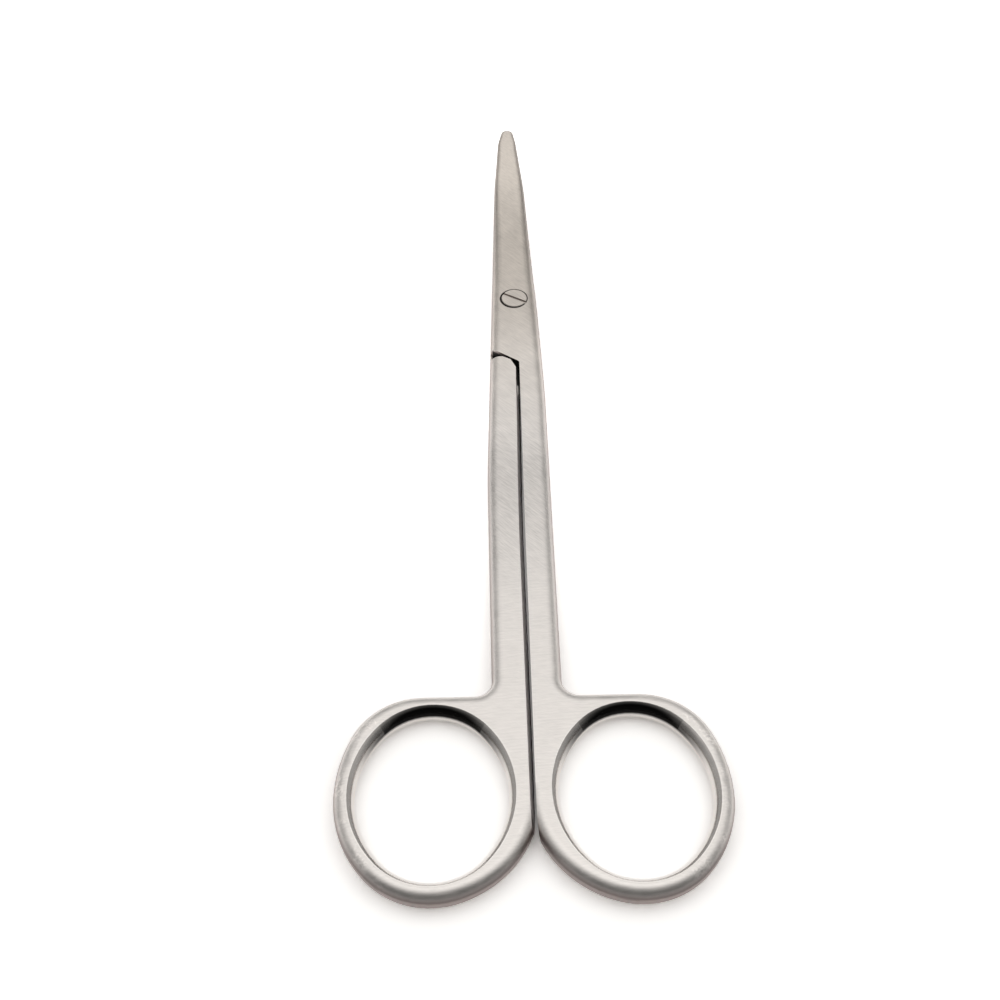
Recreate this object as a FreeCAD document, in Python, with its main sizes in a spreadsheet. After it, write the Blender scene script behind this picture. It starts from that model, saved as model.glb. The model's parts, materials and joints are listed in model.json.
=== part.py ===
import FreeCAD
import Part
import math
import os
import Sketcher
from FreeCAD import Placement, Rotation, Vector

# Dissecting scissors, about 180 mm long: two forged halves crossed in a half-lap joint and held by
# a slotted screw. The upper half carries the right ring, the lower half the left one.
# The frame: origin under the pivot, +Y towards the tips, +Z up, the underside at Z = 0.

SIZES = [
    # The whole section
    ("thickness", 4.5, "thickness of the shanks, the rings and the closed joint"),
    ("lap_gap", 0.04, "running gap between the two lapped faces"),
    ("edge_round", 2.0, "rounding of the outer edges of shank, ring and joint"),
    # The rings
    ("ring_side", 15.95, "centre of each ring, sideways from the pivot"),
    ("ring_back", 113.05, "centre of each ring, behind the pivot"),
    ("hole_width", 26.4, "ring hole at the faces, across"),
    ("hole_length", 31.4, "ring hole at the faces, lengthways"),
    ("hole_end_radius", 11.6, "radius of the two ends of the hole"),
    ("hole_bulge", 1.27, "how far the ring's inner side bulges into the hole"),
    ("ring_band", 2.2, "ring from the hole's edge to its outer side"),
    ("ring_shoulder", 1.7, "how far the ring's outer far corner is drawn out sideways"),
    ("ring_shoulder_radius", 12.5, "radius of that corner"),
    ("ring_heel", 3.67, "the same beside the other ring, before it is ground flat"),
    # The shanks
    ("upper_shank_side", 5.35, "outer side of the right shank"),
    ("lower_shank_side", 6.25, "outer side of the left shank"),
    ("upper_shank_straight", 26.0, "where the right shank starts to narrow, behind the pivot"),
    ("lower_shank_straight", 47.0, "where the left shank starts to narrow, behind the pivot"),
    ("shank_root_radius", 3.0, "hollow between shank and ring"),
    ("shank_blend_radius", 300.0, "blend where the shanks start to narrow"),
    ("upper_wall_front", 0.5, "inner edge of the right shank's top at the joint"),
    ("upper_wall_middle", 0.3, "the same half way along the shank"),
    ("upper_wall_rear", 0.2, "the same behind the rings"),
    ("lower_wall_front", 0.2, "inner edge of the left shank's top at the joint"),
    ("lower_wall_middle", 0.82, "the same half way along the shank"),
    ("lower_wall_rear", 0.62, "the same behind the rings"),
    ("wall_middle", 58.0, "where that half way is, behind the pivot"),
    ("wall_blend_radius", 900.0, "blend of the inner walls there"),
    ("wall_lean", 0.87, "lean of the inner walls over the whole thickness"),
    # The joint
    ("joint_half_width", 4.65, "half width at the pivot"),
    ("joint_tail_half_width", 5.4, "half width where the joint runs into the shank"),
    ("lap_reach", 25.0, "how far the lapped plates reach behind the pivot"),
    ("upper_shoulder_corner", 18.45, "upper half's shoulder, its inner corner behind the pivot"),
    ("lower_shoulder_corner", 18.22, "the same on the lower half"),
    ("shoulder_angle", 34.6, "slant of the shoulder"),
    ("shoulder_radius", 0.7, "rounding of the shoulder's inner corner"),
    ("shank_end", 17.0, "end of the other shank's full thickness"),
    ("shank_end_flat", 2.8, "where that end starts to slope back"),
    ("shank_end_knee", 1.2, "where it turns steep"),
    ("shank_end_slope", 0.85, "how far it has sloped back there"),
    ("shank_end_depth", 3.3, "how far it slopes back in all"),
    ("shank_end_radius", 0.6, "rounding of its knee"),
    # The blades
    ("blade_start", 5.5, "where the blades start to curve, ahead of the pivot"),
    ("blade_curve", 115.0, "radius of the upward curve"),
    ("blade_relief", 0.06, "hollow of each blade's inner face"),
    ("blade_tip_thickness", 1.15, "thickness of each blade at its tip"),
    ("blade_middle", 33.5, "waypoint of the blade's taper, ahead of the pivot"),
    ("blade_middle_left", 3.45, "half width there, left"),
    ("blade_middle_right", 2.95, "half width there, right"),
    ("blade_nose", 45.2, "where the nose begins"),
    ("blade_nose_left", 2.42, "half width there, left"),
    ("blade_nose_right", 1.5, "half width there, right"),
    ("blade_tip", 48.2, "tip, ahead of the pivot"),
    ("blade_tip_left", 1.45, "half width at the tip before rounding, left"),
    ("blade_tip_right", 0.75, "half width at the tip before rounding, right"),
    ("blade_tip_round", 0.75, "rounding of the outer edges at the tip"),
    ("joint_blend_radius", 500.0, "blend between joint and blade"),
    ("blade_blend_radius", 80.0, "blend at the waypoint"),
    ("nose_blend_radius", 5.0, "blend into the nose"),
    ("tip_corner_radius", 0.95, "corners of the blunt tip"),
    # The screw
    ("head_radius", 2.62, "screw head"),
    ("head_height", 1.2, "screw head, below the upper half's face"),
    ("head_proud", 0.1, "how far the head stands out"),
    ("head_edge", 0.12, "chamfer of the head"),
    ("head_clearance", 0.17, "gap around the head"),
    ("seat_clearance", 0.02, "gap under the head"),
    ("pivot_radius", 1.6, "smooth pivot in the upper half"),
    ("pivot_clearance", 0.03, "running clearance of the pivot"),
    ("thread_radius", 1.5, "thread in the lower half, as its pitch cylinder"),
    ("slot_width", 0.65, "screwdriver slot"),
    ("slot_depth", 0.3, "depth of the slot"),
    ("slot_angle", -30.0, "direction of the slot"),
]

# Room that cutters take past the metal, the overlap of fused pieces, and what counts as nothing
OVERRUN = 1.0
SEAM = 0.3
NOTHING = 0.01

# Directions in which a sketch is laid: side view in the plane of Y and Z, end view in X and Z
SIDE_VIEW = Rotation(Vector(1, 1, 1), 120)
END_VIEW = Rotation(Vector(1, 0, 0), 90)

doc = FreeCAD.newDocument("dissecting_scissors")


def fill_sheet():
    """The driving dimensions, in millimetres and degrees."""
    sheet = doc.addObject("Spreadsheet::Sheet", "Dims")
    for row, (alias, size, note) in enumerate(SIZES, 1):
        sheet.set(f"A{row}", alias)
        sheet.set(f"B{row}", str(size))
        sheet.set(f"C{row}", note)
        sheet.setAlias(f"B{row}", alias)
    doc.recompute()
    return sheet


sheet = fill_sheet()


def number(expression):
    """The present value of an expression on the sheet."""
    value = sheet.evalExpression(str(expression))
    return float(getattr(value, "Value", value))


def bind(thing, **expressions):
    """Ties properties to the sheet; a double underscore stands for a dot."""
    for name, expression in expressions.items():
        thing.setExpression(name.replace("__", "."), expression)


# Outlines: each vertex is given by two expressions, and each edge is a line or an arc

def point(across, along):
    return {"x": across, "y": along, "round": None, "arc": None}


def corner(across, along, radius):
    return {"x": across, "y": along, "round": radius, "arc": None}


def arc(across, along, radius, turn):
    """A vertex that an arc leads to; turn is 1 for a left-hand bend and -1 for a right-hand one."""
    return {"x": across, "y": along, "round": None, "arc": (radius, turn)}


def arc_between(start, end, radius, turn):
    """The short arc from start to end, and the positions of its two ends."""
    middle = (start + end) / 2
    along = (end - start) / 2
    left = Vector(-along.y, along.x, 0).normalize()
    centre = middle + left * turn * math.sqrt(max(radius ** 2 - along.Length ** 2, 0))
    first, last = (start, end) if turn > 0 else (end, start)
    angles = [math.atan2(spot.y - centre.y, spot.x - centre.x) for spot in (first, last)]
    if angles[1] < angles[0]:
        angles[1] += 2 * math.pi
    shape = Part.ArcOfCircle(Part.Circle(centre, Vector(0, 0, 1), radius), angles[0], angles[1])
    return shape, (1, 2) if turn > 0 else (2, 1)


def outline(name, path, placement=Placement()):
    """A sketch of one closed outline whose vertices and radii are bound to the sheet."""
    sketch = doc.addObject("Sketcher::SketchObject", name)
    sketch.Placement = placement
    spots = [Vector(number(vertex["x"]), number(vertex["y"]), 0) for vertex in path]
    following = spots[1:] + spots[:1]
    headings = [(after - here).normalize() for here, after in zip(spots, following)]
    turns = [headings[i - 1].cross(headings[i]).z for i in range(len(path))]
    setbacks = []
    for i, vertex in enumerate(path):
        bend = headings[i - 1].getAngle(headings[i])
        setbacks.append(number(vertex["round"]) * math.tan(bend / 2) if vertex["round"] else 0)

    edges = []
    for i in range(len(path)):
        after = (i + 1) % len(path)
        start = spots[i] + headings[i] * setbacks[i]
        end = spots[after] - headings[i] * setbacks[after]
        if path[after]["arc"]:
            radius, turn = path[after]["arc"]
            shape, ends = arc_between(start, end, number(radius), turn)
            edge = sketch.addGeometry(shape, False)
            bound_radius(sketch, edge, radius)
        else:
            edge = sketch.addGeometry(Part.LineSegment(start, end), False)
            ends = (1, 2)
        edges.append((edge, ends))

    for i, vertex in enumerate(path):
        before, before_ends = edges[i - 1]
        edge, ends = edges[i]
        if vertex["round"]:
            start = spots[i] - headings[i - 1] * setbacks[i]
            end = spots[i] + headings[i] * setbacks[i]
            turn = 1 if turns[i] > 0 else -1
            shape, round_ends = arc_between(start, end, number(vertex["round"]), turn)
            rounding = sketch.addGeometry(shape, False)
            spot = sketch.addGeometry(Part.Point(spots[i]), True)
            bound_spot(sketch, spot, 1, vertex)
            sketch.addConstraint([
                Sketcher.Constraint("PointOnObject", spot, 1, before),
                Sketcher.Constraint("PointOnObject", spot, 1, edge),
                Sketcher.Constraint("Tangent", before, before_ends[1], rounding, round_ends[0]),
                Sketcher.Constraint("Tangent", rounding, round_ends[1], edge, ends[0]),
            ])
            bound_radius(sketch, rounding, vertex["round"])
        else:
            bound_spot(sketch, edge, ends[0], vertex)
            sketch.addConstraint(Sketcher.Constraint("Coincident", before, before_ends[1], edge, ends[0]))
    return sketch


def bound_spot(sketch, geometry, end, vertex):
    """Holds one point of a sketch at its two expressions."""
    for kind, expression in (("DistanceX", vertex["x"]), ("DistanceY", vertex["y"])):
        rule = Sketcher.Constraint(kind, -1, 1, geometry, end, number(expression))
        place = sketch.addConstraint(rule)
        sketch.setExpression(f"Constraints[{place}]", str(expression))


def bound_radius(sketch, geometry, expression):
    place = sketch.addConstraint(Sketcher.Constraint("Radius", geometry, number(expression)))
    sketch.setExpression(f"Constraints[{place}]", str(expression))


def extruded(name, sketch, length, back="0", heading=Vector(0, 0, 1)):
    """A solid of a sketch along a direction, by length ahead of it and back behind it."""
    solid = doc.addObject("Part::Extrusion", name)
    solid.Base = sketch
    solid.DirMode = "Custom"
    solid.Dir = heading
    solid.Solid = True
    bind(solid, LengthFwd=length, LengthRev=back)
    return solid


def combined(kind, name, base, tools):
    """A Part::MultiFuse of pieces, or a Part::Common or Part::Cut of a base and one tool."""
    result = doc.addObject(kind, name)
    if kind == "Part::MultiFuse":
        result.Shapes = [base] + tools
    else:
        result.Base = base
        result.Tool = tools
    if hasattr(result, "Refine"):
        result.Refine = True
    return result


# Places that more than one piece uses. A blank reaches past the middle, so that the rounding of
# its heel runs out in what is ground away, and a side cutter reaches past the whole joint.

MIDDLE = "Dims.thickness / 2"
BLANK_SIDE = "(Dims.edge_round + Dims.upper_wall_front)"
CUT_SIDE = "(2 * Dims.joint_tail_half_width)"
RING_FRONT = "(-Dims.ring_back + Dims.hole_length / 2 + Dims.ring_band)"
BEHIND = "(-Dims.ring_back - Dims.hole_length)"
CURVE_RUN = f"(Dims.blade_tip + {OVERRUN} - Dims.blade_start)"
CURVE_RISE = f"(Dims.blade_curve - sqrt(Dims.blade_curve ^ 2 - {CURVE_RUN} ^ 2))"


def oval_joins(width, length, radius):
    """Radius of an oval's sides, and where they meet its ends, from its half sizes."""
    side = f"(({width}) ^ 2 + ({length} - {radius}) ^ 2 - ({radius}) ^ 2) / (2 * ({width} - {radius}))"
    across = f"(({side}) - {width}) * {radius} / (({side}) - {radius})"
    along = f"({length} - {radius}) * ({side}) / (({side}) - {radius})"
    return f"({side})", f"({across})", f"({along})"


def hole_path(hand):
    """The ring hole's oval at the faces, from its outermost point."""
    width = "Dims.hole_width / 2"
    side, across, along = oval_joins(width, "Dims.hole_length / 2", "Dims.hole_end_radius")
    x = lambda offset: f"{hand} * (Dims.ring_side + {offset})"
    y = lambda offset: f"-Dims.ring_back + {offset}"
    return [
        arc(x(width), y("0"), side, hand),
        arc(x(across), y(along), side, hand),
        arc(x(f"-{across}"), y(along), "Dims.hole_end_radius", hand),
        arc(x(f"-{across}"), y(f"-{along}"), side, hand),
        arc(x(across), y(f"-{along}"), "Dims.hole_end_radius", hand),
    ]


def plan_path(hand, layer, outer, inner):
    """The outline of a whole half from above, starting beside the other ring. hand is 1 for
    the right-hand ring; outer is the side of the blade that continues the shank."""
    shank = f"Dims.{layer}_shank_side"
    straight = f"-Dims.{layer}_shank_straight"
    radius = "(Dims.hole_end_radius + Dims.ring_band)"
    length = "(Dims.hole_length / 2 + Dims.ring_band)"
    width = "(Dims.hole_width / 2 + Dims.ring_band)"
    heel = "(Dims.hole_width / 2 + Dims.ring_heel)"
    side, across, along = oval_joins(width, length, radius)
    heel_side, heel_across, heel_along = oval_joins(heel, length, radius)
    far_radius = "Dims.ring_shoulder_radius"
    far_width = f"({width} - Dims.ring_shoulder)"
    far_side, far_across, far_along = oval_joins(far_width, length, far_radius)
    x = lambda offset: f"{hand} * (Dims.ring_side + {offset})"
    y = lambda offset: f"-Dims.ring_back + {offset}"
    blend = "Dims.nose_blend_radius"
    hollow = "Dims.shank_root_radius"
    hollow_across = f"({BLANK_SIDE} + Dims.ring_side - {heel})"
    hollow_along = f"sqrt({hollow} ^ 2 - ({hollow} - {hollow_across}) ^ 2)"
    return [
        arc(x(f"-{heel}"), y("0"), hollow, -hand),
        arc(x(f"-{heel_across}"), y(f"-{heel_along}"), heel_side, hand),
        arc(x(across), y(f"-{along}"), radius, hand),
        arc(x(width), y("0"), side, hand),
        arc(x(f"Dims.ring_shoulder + {far_across}"), y(far_along), far_side, hand),
        arc(x("Dims.ring_shoulder"), RING_FRONT, far_radius, hand),
        corner(f"{hand} * {shank}", RING_FRONT, "Dims.shank_root_radius"),
        corner(f"{hand} * {shank}", straight, "Dims.shank_blend_radius"),
        corner(f"{hand} * Dims.joint_half_width", "0", "Dims.joint_blend_radius"),
        corner(f"{hand} * Dims.blade_middle_{outer}", "Dims.blade_middle", "Dims.blade_blend_radius"),
        corner(f"{hand} * Dims.blade_nose_{outer}", "Dims.blade_nose", blend),
        corner(f"{hand} * Dims.blade_tip_{outer}", "Dims.blade_tip", "Dims.tip_corner_radius"),
        corner(f"{-hand} * Dims.blade_tip_{inner}", "Dims.blade_tip", "Dims.tip_corner_radius"),
        corner(f"{-hand} * Dims.blade_nose_{inner}", "Dims.blade_nose", blend),
        corner(f"{-hand} * Dims.blade_middle_{inner}", "Dims.blade_middle", "Dims.blade_blend_radius"),
        corner(f"{-hand} * Dims.joint_half_width", "0", "Dims.joint_blend_radius"),
        point(f"{-hand} * Dims.joint_tail_half_width", "-Dims.lap_reach"),
        point(f"{-hand} * {BLANK_SIDE}", "-Dims.lap_reach"),
        point(f"{-hand} * {BLANK_SIDE}", y(hollow_along)),
    ]


def band_path(up):
    """A half from the side: full thickness behind, a half-thickness plate at the joint, and the
    blade that curves upwards. up is 1 for the upper half and -1 for the lower one."""
    far = "Dims.thickness" if up > 0 else "0"
    near = "0" if up > 0 else "Dims.thickness"
    lap = f"({MIDDLE} + {up} * Dims.lap_gap / 2)"
    face = f"({lap} + {up} * Dims.blade_relief)"
    end = f"(Dims.blade_tip + {OVERRUN})"
    inner_tip = f"({face} + {CURVE_RISE})"
    outer_tip = f"({inner_tip} + {up} * Dims.blade_tip_thickness)"
    rise = f"({outer_tip} - {far})"
    outer_curve = f"(({CURVE_RUN} ^ 2 + {rise} ^ 2) / (2 * {rise}))"
    return [
        point(BEHIND, near),
        point("-Dims.shank_end", near),
        point("-Dims.shank_end", lap),
        point("Dims.blade_start", lap),
        point("Dims.blade_start", face),
        arc(end, inner_tip, "Dims.blade_curve", 1),
        point(end, outer_tip),
        arc("Dims.blade_start", far, outer_curve, -1),
        point(BEHIND, far),
    ]


def wall_path(hand, layer, front, middle, rear):
    """What is ground away beside a shank: below the slanted shoulder and inside the wall."""
    slant = f"({front} * {hand} + {CUT_SIDE}) * tan(Dims.shoulder_angle)"
    shoulder = f"-Dims.{layer}_shoulder_corner"
    return [
        point(f"{-hand} * {CUT_SIDE}", f"{shoulder} + {slant}"),
        corner(front, shoulder, "Dims.shoulder_radius"),
        corner(middle, "-Dims.wall_middle", "Dims.wall_blend_radius"),
        point(rear, BEHIND),
        point(f"{-hand} * {CUT_SIDE}", BEHIND),
    ]


def shank_end_path(hand):
    """The sloping corner of a shank's end, in the layer that the other half's plate passes."""
    return [
        point(f"{hand} * Dims.shank_end_flat", f"-Dims.shank_end + {OVERRUN}"),
        point(f"{hand} * Dims.shank_end_flat", "-Dims.shank_end"),
        corner(f"{hand} * Dims.shank_end_knee", "-Dims.shank_end - Dims.shank_end_slope",
               "Dims.shank_end_radius"),
        point(f"{hand} * Dims.lower_wall_front / 2", "-Dims.shank_end - Dims.shank_end_depth"),
        point(f"{hand} * Dims.lower_wall_front / 2", f"-Dims.lap_reach - {OVERRUN}"),
        point(f"{-hand} * {CUT_SIDE}", f"-Dims.lap_reach - {OVERRUN}"),
        point(f"{-hand} * {CUT_SIDE}", f"-Dims.shank_end + {OVERRUN}"),
    ]


def skin_faces(shape, up):
    """The faces that show: the whole upper or lower side, and the flat of shank and ring on the
    other one."""
    near = 0 if up > 0 else number("Dims.thickness")
    chosen = []
    for face in shape.Faces:
        u_first, u_last, v_first, v_last = face.ParameterRange
        place = (u_first + u_last) / 2, (v_first + v_last) / 2
        facing = face.normalAt(*place).z * up
        if facing > 0.5 or facing < -0.5 and abs(face.valueAt(*place).z - near) < NOTHING:
            chosen.append(face)
    return chosen


def rounded_edges(shape, hand, up):
    """The outlines of the skin as (edge, radius, radius), tip first. The rounding fades along
    the blade. The lines across the blank and the one that is ground away stay sharp."""
    start = number("Dims.blade_start")
    tip = number("Dims.blade_tip")
    full = number("Dims.edge_round")
    fine = number("Dims.blade_tip_round")
    skin = [edge for face in skin_faces(shape, up) for edge in face.Edges]
    found = []
    for index, edge in enumerate(shape.Edges, 1):
        first, last = edge.valueAt(edge.FirstParameter), edge.valueAt(edge.LastParameter)
        middle = edge.valueAt((edge.FirstParameter + edge.LastParameter) / 2)
        crosswise = abs(first.y - last.y) < NOTHING and first.y < start
        inner_line = abs(middle.x + hand * number(BLANK_SIDE)) < NOTHING
        outlines_skin = sum(edge.isSame(other) for other in skin) == 1
        if outlines_skin and not crosswise and not inner_line:
            found.append((middle.y, index, first, last))
    found.sort(key=lambda item: -item[0])

    # An edge that runs against the first one takes its radii in the opposite order
    def winding(first, last):
        return first.x * last.y - first.y * last.x

    chosen = []
    for along, index, first, last in found:
        radii = []
        for spot in (first, last):
            share = min(max((spot.y - start) / (tip - start), 0), 1)
            radii.append(full + (fine - full) * share)
        if winding(first, last) * winding(*found[0][2:]) < 0:
            radii.reverse()
        chosen.append((index, *radii))
    return chosen


def rounded(name, base, hand, up):
    """A blank with its outer edges rounded."""
    doc.recompute()
    fillet = doc.addObject("Part::Fillet", name)
    fillet.Base = base
    fillet.Edges = rounded_edges(base.Shape, hand, up)
    return fillet


def ring_bead(name, hand):
    """The rounded inner side of a ring: a segment swept round the hole."""
    path = outline(f"{name}_path", hole_path(hand))
    edge = f"{hand} * (Dims.ring_side + Dims.hole_width / 2)"
    seam = f"{hand} * (Dims.ring_side + Dims.hole_width / 2 + {SEAM})"
    bulge_radius = "((Dims.thickness / 2) ^ 2 + Dims.hole_bulge ^ 2) / (2 * Dims.hole_bulge)"
    section = outline(f"{name}_section", [
        point(seam, "0"),
        point(seam, "Dims.thickness"),
        point(edge, "Dims.thickness"),
        arc(edge, "0", bulge_radius, hand),
    ])
    section.Placement = Placement(Vector(0, 0, 0), END_VIEW)
    bind(section, Placement__Base__y="-Dims.ring_back")
    sweep = doc.addObject("Part::Sweep", name)
    sweep.Sections = [section]
    sweep.Spine = (path, [f"Edge{place}" for place in range(1, path.GeometryCount + 1)])
    sweep.Solid = True
    return sweep


def cylinder(name, radius, bottom, top):
    """A round solid about the pivot axis."""
    solid = doc.addObject("Part::Cylinder", name)
    bind(solid, Radius=radius, Height=f"({top}) - ({bottom})", Placement__Base__z=bottom)
    return solid


def cut(name, base, tools):
    """A base less several tools, one after the other."""
    for place, tool in enumerate(tools, 1):
        step = name if place == len(tools) else f"{name}_less_{place}"
        base = combined("Part::Cut", step, base, tool)
    return base


def half(name, hand, up, bores):
    """One half: forged outline and side band, rounded; then ring, wall, shoulder and bores."""
    layer, outer, inner = ("upper", "right", "left") if up > 0 else ("lower", "left", "right")
    reach = "(Dims.ring_side + Dims.hole_width)"
    plan = outline(f"{name}_plan", plan_path(hand, layer, outer, inner))
    blank = extruded(f"{name}_blank", plan, f"Dims.thickness + {CURVE_RISE} + {OVERRUN}")
    band = outline(f"{name}_band", band_path(up), Placement(Vector(0, 0, 0), SIDE_VIEW))
    side = extruded(f"{name}_side", band, reach, reach, Vector(1, 0, 0))
    sharp = combined("Part::Common", f"{name}_sharp", blank, side)
    forged = rounded(f"{name}_forged", sharp, hand, up)

    # The inner wall and the shoulder lean: they are drawn at the skin and cut towards the far side
    edges = [f"Dims.{layer}_wall_{place}" for place in ("front", "middle", "rear")]
    if up < 0:
        edges = [f"(-{edge} + Dims.wall_lean)" for edge in edges]
    wall = outline(f"{name}_wall", wall_path(hand, layer, *edges))
    slope = "sqrt(Dims.wall_lean ^ 2 + Dims.thickness ^ 2)"
    ground = extruded(f"{name}_ground", wall, slope)
    bind(ground, Dir__x=f"{hand} * Dims.wall_lean", Dir__z=f"{-up} * Dims.thickness")
    if up > 0:
        bind(wall, Placement__Base__z="Dims.thickness")

    # The sloping end of the shank, in the layer of the other half's plate
    sloping = outline(f"{name}_slope", shank_end_path(hand))
    corner_cut = extruded(f"{name}_corner", sloping, f"({MIDDLE} + Dims.lap_gap / 2 + {OVERRUN})")
    if up > 0:
        bind(sloping, Placement__Base__z=f"{-OVERRUN}")
    else:
        bind(sloping, Placement__Base__z=f"{MIDDLE} - Dims.lap_gap / 2")

    oval = outline(f"{name}_hole_plan", hole_path(hand))
    bind(oval, Placement__Base__z=f"{-OVERRUN}")
    hole = extruded(f"{name}_hole", oval, f"Dims.thickness + {2 * OVERRUN}")
    worked = cut(f"{name}_worked", forged, [ground, corner_cut, hole] + bores)
    bead = ring_bead(f"{name}_bead", hand)
    return combined("Part::MultiFuse", name, worked, [bead])


def pivot_screw(name):
    """The screw: a revolved profile with a slot across its head."""
    body = doc.addObject("PartDesign::Body", name)
    seat = f"({MIDDLE} - Dims.lap_gap / 2)"
    head = "(Dims.thickness - Dims.head_height)"
    top = "(Dims.thickness + Dims.head_proud)"
    profile = outline(f"{name}_profile", [
        point("0", "0"),
        point("Dims.thread_radius", "0"),
        point("Dims.thread_radius", seat),
        point("Dims.pivot_radius", seat),
        point("Dims.pivot_radius", head),
        point("Dims.head_radius", head),
        point("Dims.head_radius", f"{top} - Dims.head_edge"),
        point("Dims.head_radius - Dims.head_edge", top),
        point("0", top),
    ], Placement(Vector(0, 0, 0), END_VIEW))
    body.addObject(profile)
    turned = body.newObject("PartDesign::Revolution", f"{name}_turned")
    turned.Profile = profile
    turned.ReferenceAxis = (profile, ["V_Axis"])
    turned.Angle = 360

    reach = f"(Dims.head_radius + {OVERRUN})"
    slot = outline(f"{name}_slot", [
        point(f"-{reach}", "-Dims.slot_width / 2"),
        point(reach, "-Dims.slot_width / 2"),
        point(reach, "Dims.slot_width / 2"),
        point(f"-{reach}", "Dims.slot_width / 2"),
    ], Placement(Vector(0, 0, 0), Rotation(Vector(0, 0, 1), number("Dims.slot_angle"))))
    bind(slot, Placement__Base__z=top, Placement__Rotation__Angle="Dims.slot_angle")
    body.addObject(slot)
    pocket = body.newObject("PartDesign::Pocket", f"{name}_pocket")
    pocket.Profile = slot
    bind(pocket, Length="Dims.slot_depth")
    body.Tip = pocket
    return body


clear_bore = cylinder(
    "clear_bore", "Dims.pivot_radius + Dims.pivot_clearance", f"-{OVERRUN}", f"Dims.thickness + {OVERRUN}"
)
head_recess = cylinder(
    "head_recess", "Dims.head_radius + Dims.head_clearance",
    "Dims.thickness - Dims.head_height - Dims.seat_clearance", f"Dims.thickness + {OVERRUN}"
)
threaded_bore = cylinder("threaded_bore", "Dims.thread_radius", f"-{OVERRUN}", f"Dims.thickness + {OVERRUN}")

nodes = [
    half("upper_half", 1, 1, [clear_bore, head_recess]),
    half("lower_half", -1, -1, [threaded_bore]),
    pivot_screw("pivot_screw"),
]
doc.recompute()

for thing in doc.Objects:
    if {"Invalid", "Error"} & set(thing.State):
        raise RuntimeError(f"{thing.Name} did not build: {thing.State}")

os.makedirs("parts", exist_ok=True)
for node in nodes:
    shape = node.Shape
    if shape.isNull() or not shape.isValid() or len(shape.Solids) != 1:
        raise RuntimeError(f"{node.Label} is not one valid solid")
    shape.exportStep(f"parts/{node.Label}.step")
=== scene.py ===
import json
import math

import bpy
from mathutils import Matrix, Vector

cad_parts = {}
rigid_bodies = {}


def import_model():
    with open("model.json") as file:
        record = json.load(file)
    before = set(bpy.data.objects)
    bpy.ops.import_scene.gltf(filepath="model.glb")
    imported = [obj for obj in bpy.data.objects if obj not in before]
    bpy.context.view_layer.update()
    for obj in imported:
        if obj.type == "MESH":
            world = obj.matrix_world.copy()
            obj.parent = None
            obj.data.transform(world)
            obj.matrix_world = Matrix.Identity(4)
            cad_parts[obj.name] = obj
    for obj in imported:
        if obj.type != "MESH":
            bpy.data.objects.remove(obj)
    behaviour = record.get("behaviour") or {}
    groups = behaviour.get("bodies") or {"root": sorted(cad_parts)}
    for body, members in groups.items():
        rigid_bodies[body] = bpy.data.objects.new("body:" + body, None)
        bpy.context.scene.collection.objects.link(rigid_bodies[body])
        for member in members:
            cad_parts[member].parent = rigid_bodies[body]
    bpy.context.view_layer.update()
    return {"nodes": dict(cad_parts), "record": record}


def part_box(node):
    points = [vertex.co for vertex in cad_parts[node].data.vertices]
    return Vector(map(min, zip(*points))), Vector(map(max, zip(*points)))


bl_info = {
    "name": "Dissecting Scissors Finish",
    "version": (1, 0, 0),
    "blender": (4, 5, 0),
    "location": "View3D > Sidebar > Scissors",
    "description": "Steel finishes, light and camera for a pair of dissecting scissors",
    "category": "Material",
}

for leftover in list(bpy.data.objects):
    bpy.data.objects.remove(leftover)

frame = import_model()
HALVES = ("upper_half", "lower_half")
SCREW = "pivot_screw"
MM = 0.001

# The middle of a ring and the size of the screw head, read from the frame, in millimetres
RING = next(mount for mount in frame["record"]["mounts"] if mount["name"].endswith("finger_ring"))
RING_SIDE = abs(RING["pos_m"][0]) / MM
RING_BACK = RING["pos_m"][1] / MM
HEAD_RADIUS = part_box(SCREW)[1].x / MM

# Places along the scissors where the finish and its painted shade change, in millimetres ahead of the
# pivot
SLIT_BACK = -117
REAR_SHANK = -80
MIDDLE_SHANK = -60
FRONT_SHANK = -45
JOINT_BACK = -24
PIVOT = 0
BLADE_BACK = 15
BLADE_MIDDLE = 22
TIP_BACK = 26
TIP_FRONT = 38
SLIT = (SLIT_BACK, JOINT_BACK)


class Wire:
    """A value in a node tree. Python's arithmetic on it adds Math nodes."""

    def __init__(self, board, socket):
        self.board = board
        self.socket = socket

    def maths(self, operation, *values):
        """A Math node of this tree, with its values in their order."""
        return self.board.node("ShaderNodeMath", {"operation": operation}, dict(enumerate(values)))

    @property
    def parts(self):
        """All outputs of this wire's node."""
        return [Wire(self.board, output) for output in self.socket.node.outputs]

    def output(self, name):
        """Another output of this wire's node."""
        return Wire(self.board, self.socket.node.outputs[name])

    def __add__(self, other):
        return self.maths("ADD", self, other)

    def __radd__(self, other):
        return self.maths("ADD", other, self)

    def __sub__(self, other):
        return self.maths("SUBTRACT", self, other)

    def __rsub__(self, other):
        return self.maths("SUBTRACT", other, self)

    def __mul__(self, other):
        return self.maths("MULTIPLY", self, other)

    def __rmul__(self, other):
        return self.maths("MULTIPLY", other, self)

    def __truediv__(self, other):
        return self.maths("DIVIDE", self, other)

    def __pow__(self, other):
        return self.maths("POWER", self, other)

    def __neg__(self):
        return self.maths("MULTIPLY", self, -1.0)

    def __abs__(self):
        return self.maths("ABSOLUTE", self)

    def between(self, low, high):
        """Rises smoothly from 0 at low to 1 at high; with high below low it falls."""
        return self.board.node(
            "ShaderNodeMapRange",
            {"interpolation_type": "SMOOTHSTEP"},
            {"Value": self, "From Min": low, "From Max": high},
        )

    def within(self, low, high, soft):
        """1 between low and high and 0 outside, with edges as wide as soft."""
        half = soft / 2
        return self.between(low - half, low + half) * self.between(high + half, high - half)


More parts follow.
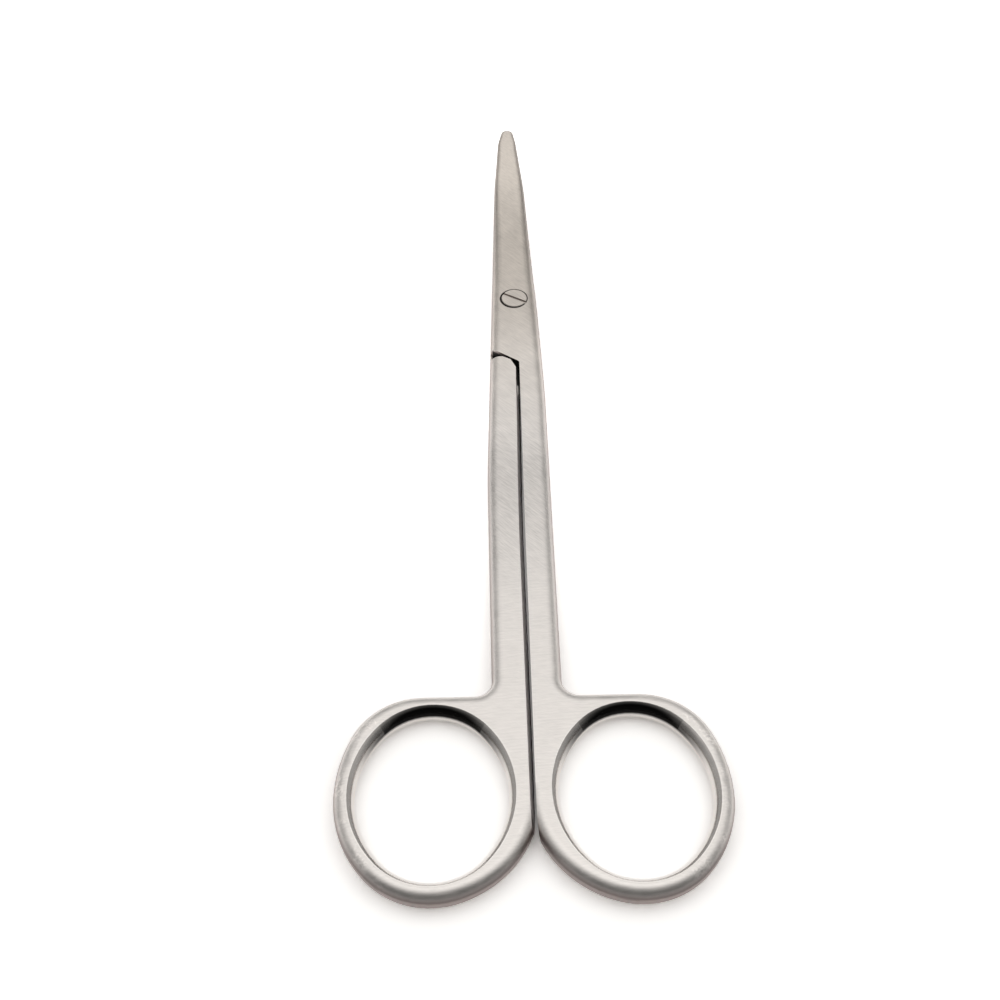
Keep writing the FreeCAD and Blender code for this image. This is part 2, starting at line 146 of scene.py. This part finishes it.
def highest(first, *others):
    """The largest of several values."""
    for other in others:
        first = first.maths("MAXIMUM", first, other)
    return first


def distance(first, second):
    """The length of a line from its two legs."""
    return (first * first + second * second) ** 0.5


class Board:
    """A node tree, of a material or of the world, with one way to add a node."""

    def __init__(self, tree):
        self.tree = tree
        tree.nodes.clear()

    def node(self, kind, settings=None, sockets=None, output=0):
        """Adds a node and gives the wire that leaves it. A socket takes a wire or a value."""
        made = self.tree.nodes.new(kind)
        for name, value in (settings or {}).items():
            setattr(made, name, value)
        for name, value in (sockets or {}).items():
            if isinstance(value, Wire):
                self.tree.links.new(value.socket, made.inputs[name])
            else:
                made.inputs[name].default_value = value
        return Wire(self, made.outputs[output])

    def tinted(self, factor, low, high):
        """A colour that goes from low to high with a factor. The colours of a Mix node are its
        inputs 6 and 7 and its output 2."""
        return self.node(
            "ShaderNodeMix", {"data_type": "RGBA"}, {"Factor": factor, 6: low, 7: high}, output=2
        )

    def mixed(self, factor, first, second):
        """The first shader where the factor is 0 and the second where it is 1."""
        return self.node("ShaderNodeMixShader", None, {0: factor, 1: first, 2: second})

    def split(self, vector):
        """The three parts of a vector."""
        return self.node("ShaderNodeSeparateXYZ", None, {"Vector": vector}).parts

    def end(self, kind, **sockets):
        """The output node of the tree."""
        made = self.tree.nodes.new(kind)
        for name, wire in sockets.items():
            self.tree.links.new(wire.socket, made.inputs[name])


def new_material(name):
    """An empty material and the board of its nodes."""
    material = bpy.data.materials.new(name)
    material.use_nodes = True
    return material, Board(material.node_tree)


def streaks(board, place, angle, spacing, length):
    """Brushing: noise drawn out along one direction in the plane of X and Y."""
    turned = board.node(
        "ShaderNodeMapping",
        {"vector_type": "TEXTURE"},
        {"Vector": place, "Rotation": (0, 0, angle), "Scale": (length, spacing, spacing)},
    )
    return board.node("ShaderNodeTexNoise", None, {"Vector": turned, "Scale": 1.0, "Detail": 1.5})


def mottle(board, place, size, detail=3.0):
    """Soft patches of about one size."""
    return board.node("ShaderNodeTexNoise", None, {"Vector": place, "Scale": 1 / size, "Detail": detail})


class Spot:
    """Where a point of the steel lies, in millimetres, and which way it faces."""

    def __init__(self, board, look):
        self.board = board
        self.place = board.node("ShaderNodeTexCoord", output="Object")
        self.across, self.along, self.up = (part / MM for part in board.split(self.place))
        facing = board.node("ShaderNodeTexCoord", output="Normal")
        _, self.facing_ahead, self.facing_up = board.split(facing)

        # How far out from a ring's middle, as a share of its hole
        sideways = (abs(self.across) - RING_SIDE) * (MM / look.hole_half_width)
        lengthways = (self.along - RING_BACK) * (MM / look.hole_half_length)
        self.ring_reach = distance(sideways, lengthways)
        self.in_hole = self.ring_reach.between(1.015, 0.985)
        self.unpolished = 1 - self.in_hole * look.hole_polish

    def inside(self, across, along, up, soft):
        """1 inside a box and 0 outside. Soft gives the width of its edges in each direction."""
        spans = zip((self.across, self.along, self.up), (across, along, up), soft)
        sides = [wire.within(*span, edge) for wire, span, edge in spans]
        return sides[0] * sides[1] * sides[2]


def painted_gap_shade(spot):
    """Where shade is painted in dark: in the notch at the shoulder and the corner beside it, in the slit
    between the shanks and round the screw head, where it reaches furthest at the lower left."""
    notch = spot.inside(across=(-4.75, -2.4), along=(-18.5, -14.5), up=(1.6, 3.8), soft=(0.3, 0.5, 0.6))
    corner = spot.inside(across=(-2.6, 1.5), along=(-23, -16.5), up=(0.3, 4.25), soft=(0.3, 0.5, 0.3))
    slit = spot.inside(across=(-0.1, 1.6), along=SLIT, up=(0.1, 1.4), soft=(0.2, 3, 0.1))

    off_centre = 0.15
    outer_radius = HEAD_RADIUS + 0.22
    past_head = distance(spot.across, spot.along).between(HEAD_RADIUS - 0.04, HEAD_RADIUS + 0.02)
    from_middle = distance(spot.across + off_centre, spot.along + off_centre)
    near_head = from_middle.between(outer_radius + 0.02, outer_radius - 0.02)
    round_screw = past_head * near_head * spot.up.between(3.5, 3.6)
    return highest(notch, corner, slit, round_screw)


def painted_wall_light(spot):
    """The left shank's wall in the slit, made pale and non-metal so that it looks paler than the rest:
    painted light standing in for a lit strip along the slit.
    """
    wall = spot.inside(across=(-1.0, 0.1), along=SLIT, up=(0.8, 4.3), soft=(0.1, 3, 0.3))
    return wall * abs(spot.facing_up).between(0.7, 0.4)


def brush_marks(spot, look):
    """Brushing about 0: across rings and rear shanks, slantwise ahead of them, coarsest half way
    along the shanks and faint in the holes."""
    board = spot.board
    spacing = look.brush_spacing
    length = look.brush_length
    crosswise = streaks(board, spot.place, look.rear_brush_angle, spacing, length)
    slanted = streaks(board, spot.place, look.brush_angle, spacing * 0.8, length)
    fine = streaks(board, spot.place, look.brush_angle * 0.6, spacing * 0.4, length * 0.5)
    broad = crosswise + (slanted - crosswise) * spot.along.between(REAR_SHANK, MIDDLE_SHANK)
    fine_share = 0.3
    marks = (broad - 0.5) * (1 - fine_share) + (fine - 0.5) * fine_share
    coarser = spot.along.within(-70, -35, soft=14) * 0.8
    return marks * spot.unpolished * (1 + coarser)


def handling_marks(spot, look):
    """Pale, speckled patches on the outer roundings of the rings."""
    patches = mottle(spot.board, spot.place, look.scuff_size, 1.0).between(0.50, 0.62)
    specks = mottle(spot.board, spot.place, look.scuff_size * 0.11).between(0.42, 0.60)
    on_rim = spot.ring_reach.between(1.02, 1.06) * abs(spot.across).between(19, 25)
    return patches * specks * on_rim


def shading(spot, look):
    """How bright the steel's colour is painted, apart from its texture: painted shade a little darker
    ahead of the rear shanks and on the blades, most so along the right edge, and painted light beside
    the notch and at the tip, in place of reflections that change along the scissors."""
    on_front = spot.along.between(REAR_SHANK, FRONT_SHANK) * look.front_painted_shade
    on_blade = spot.along.between(PIVOT, BLADE_MIDDLE) * look.blade_painted_shade
    half_width = look.joint_half_width / MM - spot.along * look.blade_taper
    by_edge = (spot.across / half_width).between(0.40, 0.80) * look.edge_painted_shade
    by_edge = by_edge * spot.along.between(JOINT_BACK, PIVOT)
    at_tip = spot.along.between(TIP_BACK, TIP_FRONT) * look.tip_painted_light
    by_notch = spot.along.within(-42, -10, soft=16) * look.notch_painted_light
    return 1 - on_front - on_blade - by_edge + at_tip + by_notch


def painted_dark_reflection(spot, look):
    """How much darker the steel's colour is painted where it faces back and up, most of all inside the
    rings: a painted reflection of the dim room above and behind the camera.
    """
    looks_back = (-spot.facing_ahead).between(0.15, 0.70) * spot.facing_up.between(0.02, 0.28)
    extra = look.hole_painted_shade - look.back_painted_shade
    return looks_back * (look.back_painted_shade + spot.in_hole * extra)


def steel_material(name, look):
    """Satin stainless steel: brushed flats, polished ring holes, painted shade on the sides, in the
    joint and where the steel faces back, painted light on the wall in the slit, painted shading along
    the scissors and small scuffs."""
    material, board = new_material(name)
    spot = Spot(board, look)
    grain = brush_marks(spot, look)
    scuffs = handling_marks(spot, look)
    cloud = mottle(board, spot.place, look.mottle_size) - 0.5
    # Painted light: a pale, non-metal strip on the left wall in the slit.
    wall_light = painted_wall_light(spot)

    towards_tip = spot.along.between(FRONT_SHANK, BLADE_BACK)
    # Painted shade: surfaces that face sideways get a darker colour, except where the holes are
    # polished.
    shaded_side = abs(spot.facing_up).between(0.85, 0.25) * spot.unpolished
    tint = board.tinted(towards_tip, (*look.steel_colour, 1), (*look.blade_colour, 1))
    tint = board.tinted(shaded_side, tint, (*look.side_shade_colour, 1))
    tint = board.tinted(wall_light, tint, (*look.wall_light_colour, 1))
    texture = cloud * look.mottle_strength + grain * look.brush_strength + scuffs * look.scuff_brightness
    # The colour is scaled by the painted shading along the scissors and by the painted dark reflection
    # where the steel faces back.
    shade = (shading(spot, look) + texture) * (1 - painted_dark_reflection(spot, look))
    colour = board.node("ShaderNodeVectorMath", {"operation": "SCALE"}, {0: tint, "Scale": shade})

    satin = look.roughness - spot.in_hole * (look.roughness - look.hole_roughness)
    roughness = satin + (cloud + grain) * look.roughness_change + scuffs * look.scuff_roughness
    relief = board.node(
        "ShaderNodeBump",
        None,
        {"Strength": 0.6, "Distance": look.brush_depth, "Height": grain + scuffs * 0.5},
    )
    steel = board.node(
        "ShaderNodeBsdfPrincipled",
        None,
        {"Base Color": colour, "Metallic": 1 - wall_light, "Roughness": roughness, "Normal": relief},
    )
    # Painted shade: a near-black, dull surface laid over the steel in the joint's gaps and round the
    # screw head.
    gap_shade = board.node(
        "ShaderNodeBsdfPrincipled",
        None,
        {"Base Color": (*look.gap_shade_colour, 1), "Roughness": 0.7, "Specular IOR Level": 0.15},
    )
    surface = board.mixed(painted_gap_shade(spot) * look.gap_shade_cover, steel, gap_shade)
    board.end("ShaderNodeOutputMaterial", Surface=surface)
    return material


def dress(node, material):
    """Gives a CAD node its finish."""
    thing = frame["nodes"][node]
    thing.data.materials.clear()
    thing.data.materials.append(material)


class SteelLook(bpy.types.PropertyGroup):
    """The steel's finish, and the shade and light painted on it."""

    steel_colour: bpy.props.FloatVectorProperty(
        name="Steel", description="Colour of the clean steel", subtype="COLOR", size=3,
        default=(0.745, 0.717, 0.692), min=0, max=1,
    )
    blade_colour: bpy.props.FloatVectorProperty(
        name="Blades", description="Colour of the steel of the blades", subtype="COLOR", size=3,
        default=(0.775, 0.717, 0.655), min=0, max=1,
    )
    # Painted shade: the darker colour of surfaces that face sideways.
    side_shade_colour: bpy.props.FloatVectorProperty(
        name="Sides", description="Colour of the less finished sides", subtype="COLOR", size=3,
        default=(0.315, 0.268, 0.257), min=0, max=1,
    )
    # Painted light: the pale colour of the strip on the wall in the slit.
    wall_light_colour: bpy.props.FloatVectorProperty(
        name="Matt wall", description="Colour of the matt wall in the slit", subtype="COLOR",
        size=3, default=(0.95, 0.92, 0.90), min=0, max=1,
    )
    # Painted shade: the near-black colour laid into the joint's gaps and round the screw head.
    gap_shade_colour: bpy.props.FloatVectorProperty(
        name="Residue", description="Colour of the residue deep inside the joint", subtype="COLOR",
        size=3, default=(0.012, 0.011, 0.010), min=0, max=1,
    )
    # How far that painted shade hides the steel under it.
    gap_shade_cover: bpy.props.FloatProperty(
        name="Residue cover", description="How much of the metal under it the residue hides",
        subtype="FACTOR", default=0.97, min=0, max=1,
    )
    roughness: bpy.props.FloatProperty(
        name="Satin roughness", description="Roughness of the brushed flats", subtype="FACTOR",
        default=0.42, min=0, max=1,
    )
    roughness_change: bpy.props.FloatProperty(
        name="Roughness change", description="How much brushing and mottle change the roughness",
        subtype="FACTOR", default=0.20, min=0, max=1,
    )
    hole_roughness: bpy.props.FloatProperty(
        name="Ring hole roughness", description="Roughness inside the rings", subtype="FACTOR",
        default=0.20, min=0, max=1,
    )
    # Polish in the holes also takes away the painted side shade there.
    hole_polish: bpy.props.FloatProperty(
        name="Hole polish", description="How far polish hides brushing and side colour in the holes",
        subtype="FACTOR", default=0.8, min=0, max=1,
    )
    # Painted shade and light along the scissors, standing in for reflections that change from place to
    # place.
    front_painted_shade: bpy.props.FloatProperty(
        name="Front darkening", description="How much darker the steel is ahead of the rear shanks",
        subtype="FACTOR", default=0.14, min=0, max=1,
    )
    blade_painted_shade: bpy.props.FloatProperty(
        name="Blade darkening", description="How much darker again the blades are",
        subtype="FACTOR", default=0.18, min=0, max=1,
    )
    edge_painted_shade: bpy.props.FloatProperty(
        name="Edge darkening", description="How much darker the right edge of joint and blade is",
        subtype="FACTOR", default=0.10, min=0, max=1,
    )
    tip_painted_light: bpy.props.FloatProperty(
        name="Tip lightening", description="How much paler the tip is than the rest of the blade",
        subtype="FACTOR", default=0.10, min=0, max=1,
    )
    notch_painted_light: bpy.props.FloatProperty(
        name="Notch lightening", description="How much paler the steel is beside the notch",
        subtype="FACTOR", default=0.15, min=0, max=1,
    )
    # Painted reflection: how much darker the colour is where the steel faces back and up, and inside the
    # rings.
    back_painted_shade: bpy.props.FloatProperty(
        name="Back darkening", description="How much darker the steel is where it faces back and up",
        subtype="FACTOR", default=0.50, min=0, max=1,
    )
    hole_painted_shade: bpy.props.FloatProperty(
        name="Hole darkening", description="The same inside the ring holes",
        subtype="FACTOR", default=0.99, min=0, max=1,
    )
    brush_angle: bpy.props.FloatProperty(
        name="Brush angle", description="Direction of the slanted brushing", subtype="ANGLE",
        unit="ROTATION", default=math.radians(-46),
    )
    rear_brush_angle: bpy.props.FloatProperty(
        name="Rear brush angle", description="Direction of the brushing on rings and rear shanks",
        subtype="ANGLE", unit="ROTATION", default=math.radians(4),
    )
    brush_strength: bpy.props.FloatProperty(
        name="Brush strength", description="How much the brushing changes the tone",
        subtype="FACTOR", default=0.42, min=0, max=1,
    )
    brush_spacing: bpy.props.FloatProperty(
        name="Brush spacing", description="Distance between brush marks", subtype="DISTANCE",
        unit="LENGTH", default=0.30 * MM, precision=6,
    )
    brush_length: bpy.props.FloatProperty(
        name="Brush length", description="Length of a brush mark", subtype="DISTANCE",
        unit="LENGTH", default=2.5 * MM, precision=5,
    )
    brush_depth: bpy.props.FloatProperty(
        name="Brush depth", description="Depth of a brush mark", subtype="DISTANCE",
        unit="LENGTH", default=0.006 * MM, precision=7,
    )
    mottle_size: bpy.props.FloatProperty(
        name="Mottle size", description="Size of the soft changes of tone", subtype="DISTANCE",
        unit="LENGTH", default=3 * MM, precision=5,
    )
    mottle_strength: bpy.props.FloatProperty(
        name="Mottle strength", description="How much the soft changes of tone show",
        subtype="FACTOR", default=0.25, min=0, max=1,
    )
    scuff_size: bpy.props.FloatProperty(
        name="Scuff size", description="Size of the handling marks on the rings", subtype="DISTANCE",
        unit="LENGTH", default=5 * MM, precision=5,
    )
    scuff_brightness: bpy.props.FloatProperty(
        name="Scuff brightness", description="How much paler the handling marks are",
        subtype="FACTOR", default=0.28, min=0, max=1,
    )
    scuff_roughness: bpy.props.FloatProperty(
        name="Scuff roughness", description="How much rougher the handling marks are",
        subtype="FACTOR", default=0.12, min=0, max=1,
    )
    hole_half_width: bpy.props.FloatProperty(
        name="Hole half width", description="Half the width of a ring hole at its edge",
        subtype="DISTANCE", unit="LENGTH", default=13.2 * MM, precision=5,
    )
    hole_half_length: bpy.props.FloatProperty(
        name="Hole half length", description="Half the length of a ring hole at its edge",
        subtype="DISTANCE", unit="LENGTH", default=15.7 * MM, precision=5,
    )
    joint_half_width: bpy.props.FloatProperty(
        name="Joint half width", description="Half the width of the joint at the screw",
        subtype="DISTANCE", unit="LENGTH", default=4.65 * MM, precision=5,
    )
    blade_taper: bpy.props.FloatProperty(
        name="Blade taper", description="How fast that half width shrinks towards the tip",
        default=0.045, precision=3,
    )


class StudioLook(bpy.types.PropertyGroup):
    """The floor, the light and the camera."""

    floor_colour: bpy.props.FloatProperty(
        name="Floor", description="How white the floor is for its light on the object",
        subtype="FACTOR", default=0.85, min=0, max=1,
    )
    floor_by_rings: bpy.props.FloatProperty(
        name="Floor by the rings", description="How white the floor is to camera and reflections",
        default=1.48, min=0, max=3,
    )
    floor_by_blades: bpy.props.FloatProperty(
        name="Floor by the blades", description="The same beside shanks and blades",
        default=1.95, min=0, max=3,
    )
    overhead_strength: bpy.props.FloatProperty(
        name="Overhead", description="Brightness of the light overhead, above the room's",
        default=0.98, min=0,
    )
    room_strength: bpy.props.FloatProperty(
        name="Room", description="Brightness of the rest of the room", default=0.40, min=0,
    )
    light_colour: bpy.props.FloatVectorProperty(
        name="Light", description="Colour of the room's light", subtype="COLOR", size=3,
        default=(1.0, 0.985, 0.965), min=0, max=1,
    )
    behind_dimming: bpy.props.FloatProperty(
        name="Dimming behind", description="How much dimmer the room is above and behind the camera",
        subtype="FACTOR", default=0.5, min=0, max=1,
    )
    lens: bpy.props.FloatProperty(
        name="Lens", description="Focal length on a 36 mm frame", subtype="DISTANCE_CAMERA",
        unit="CAMERA", default=51.73, min=1,
    )
    camera_place: bpy.props.FloatVectorProperty(
        name="Camera place", description="Where the camera stands", subtype="TRANSLATION",
        unit="LENGTH", default=(-7.604 * MM, -222.265 * MM, 204.069 * MM), precision=5,
    )
    camera_pitch: bpy.props.FloatProperty(
        name="Camera pitch", description="How far the camera looks down", subtype="ANGLE",
        unit="ROTATION", default=math.radians(49.9),
    )
    camera_yaw: bpy.props.FloatProperty(
        name="Camera yaw", description="How far the camera is turned to the left of +Y",
        subtype="ANGLE", unit="ROTATION", default=math.radians(-1.206),
    )


class SCISSORS_OT_halves(bpy.types.Operator):
    """Gives both forged halves their brushed and polished steel"""

    bl_idname = "scissors.halves"
    bl_label = "Finish the Halves"

    def execute(self, context):
        look = context.scene.scissors_steel
        for half in HALVES:
            dress(half, steel_material(f"{half}_steel", look))
        return {"FINISHED"}


class SCISSORS_OT_screw(bpy.types.Operator):
    """Gives the pivot screw its steel"""

    bl_idname = "scissors.screw"
    bl_label = "Finish the Screw"

    def execute(self, context):
        look = context.scene.scissors_steel
        dress(SCREW, steel_material("screw_steel", look))
        return {"FINISHED"}


class SCISSORS_OT_stage(bpy.types.Operator):
    """Makes the floor, the light and the camera"""

    bl_idname = "scissors.stage"
    bl_label = "Set the Stage"

    def execute(self, context):
        look = context.scene.scissors_studio
        make_floor(look)
        light_room(look)
        place_camera(look)
        context.scene.view_settings.view_transform = "Standard"
        return {"FINISHED"}


def make_floor(look):
    """A wide pale floor just under the steel, white to the camera where no shadow falls. The
    shadow is fainter beside the blades, as in the photo."""
    side = 3.0
    level = -0.02 * MM
    corners = [(-side, -side, level), (side, -side, level), (side, side, level), (-side, side, level)]
    mesh = bpy.data.meshes.new("floor")
    mesh.from_pydata(corners, [], [(0, 1, 2, 3)])
    floor = bpy.data.objects.new("floor", mesh)
    bpy.context.scene.collection.objects.link(floor)
    material, board = new_material("floor_paper")
    path = board.node("ShaderNodeLightPath")
    rays = ("Is Camera Ray", "Is Glossy Ray", "Is Transmission Ray")
    seen = highest(*(path.output(ray) for ray in rays))
    _, along, _ = board.split(board.node("ShaderNodeTexCoord", output="Object"))
    by_blades = (along / MM).between(-95, FRONT_SHANK)
    shown = look.floor_by_rings + by_blades * (look.floor_by_blades - look.floor_by_rings)
    white = look.floor_colour + seen * (shown - look.floor_colour)
    colour = board.node("ShaderNodeCombineColor", None, {"Red": white, "Green": white, "Blue": white})
    paper = board.node("ShaderNodeBsdfDiffuse", None, {"Color": colour})
    board.end("ShaderNodeOutputMaterial", Surface=paper)
    mesh.materials.append(material)


def light_room(look):
    """A room that is brightest overhead and dimmer above and behind the camera; white to the
    camera itself."""
    world = bpy.data.worlds.new("studio")
    bpy.context.scene.world = world
    world.use_nodes = True
    board = Board(world.node_tree)
    _, ahead, up = board.split(board.node("ShaderNodeTexCoord", output="Generated"))
    behind_camera = ahead.between(-0.15, -0.45) * up.between(0.25, 0.45)
    overhead = up.between(0.42, 1.0)
    level = look.room_strength + look.overhead_strength * overhead
    level = level * (1 - behind_camera * look.behind_dimming)
    warm = (*look.light_colour, 1)
    lit = board.node("ShaderNodeBackground", None, {"Color": warm, "Strength": level})
    white = board.node("ShaderNodeBackground", None, {"Color": (1, 1, 1, 1), "Strength": 1.0})
    to_camera = board.node("ShaderNodeLightPath", output="Is Camera Ray")
    board.end("ShaderNodeOutputWorld", Surface=board.mixed(to_camera, lit, white))


def place_camera(look):
    """The camera that took the photo, as fitted to it."""
    lens = bpy.data.cameras.new("camera")
    lens.lens = look.lens
    lens.sensor_width = 36
    lens.clip_start = 0.01
    lens.clip_end = 20
    camera = bpy.data.objects.new("camera", lens)
    camera.location = look.camera_place
    camera.rotation_euler = (math.pi / 2 - look.camera_pitch, 0, look.camera_yaw)
    bpy.context.scene.collection.objects.link(camera)
    bpy.context.scene.camera = camera


class SCISSORS_PT_panel(bpy.types.Panel):
    """Lists the steps and their settings"""

    bl_label = "Dissecting Scissors"
    bl_idname = "SCISSORS_PT_panel"
    bl_space_type = "VIEW_3D"
    bl_region_type = "UI"
    bl_category = "Scissors"

    def draw(self, context):
        for operator in OPERATORS:
            self.layout.operator(operator.bl_idname)
        for group in (context.scene.scissors_steel, context.scene.scissors_studio):
            box = self.layout.box()
            for name in group.__annotations__:
                box.prop(group, name)


OPERATORS = (SCISSORS_OT_halves, SCISSORS_OT_screw, SCISSORS_OT_stage)
CLASSES = (SteelLook, StudioLook, *OPERATORS, SCISSORS_PT_panel)


def register():
    for kind in CLASSES:
        bpy.utils.register_class(kind)
    bpy.types.Scene.scissors_steel = bpy.props.PointerProperty(type=SteelLook)
    bpy.types.Scene.scissors_studio = bpy.props.PointerProperty(type=StudioLook)


def unregister():
    del bpy.types.Scene.scissors_studio
    del bpy.types.Scene.scissors_steel
    for kind in reversed(CLASSES):
        bpy.utils.unregister_class(kind)


def main():
    register()
    bpy.ops.scissors.halves()
    bpy.ops.scissors.screw()
    bpy.ops.scissors.stage()


if __name__ == "__main__":
    main()
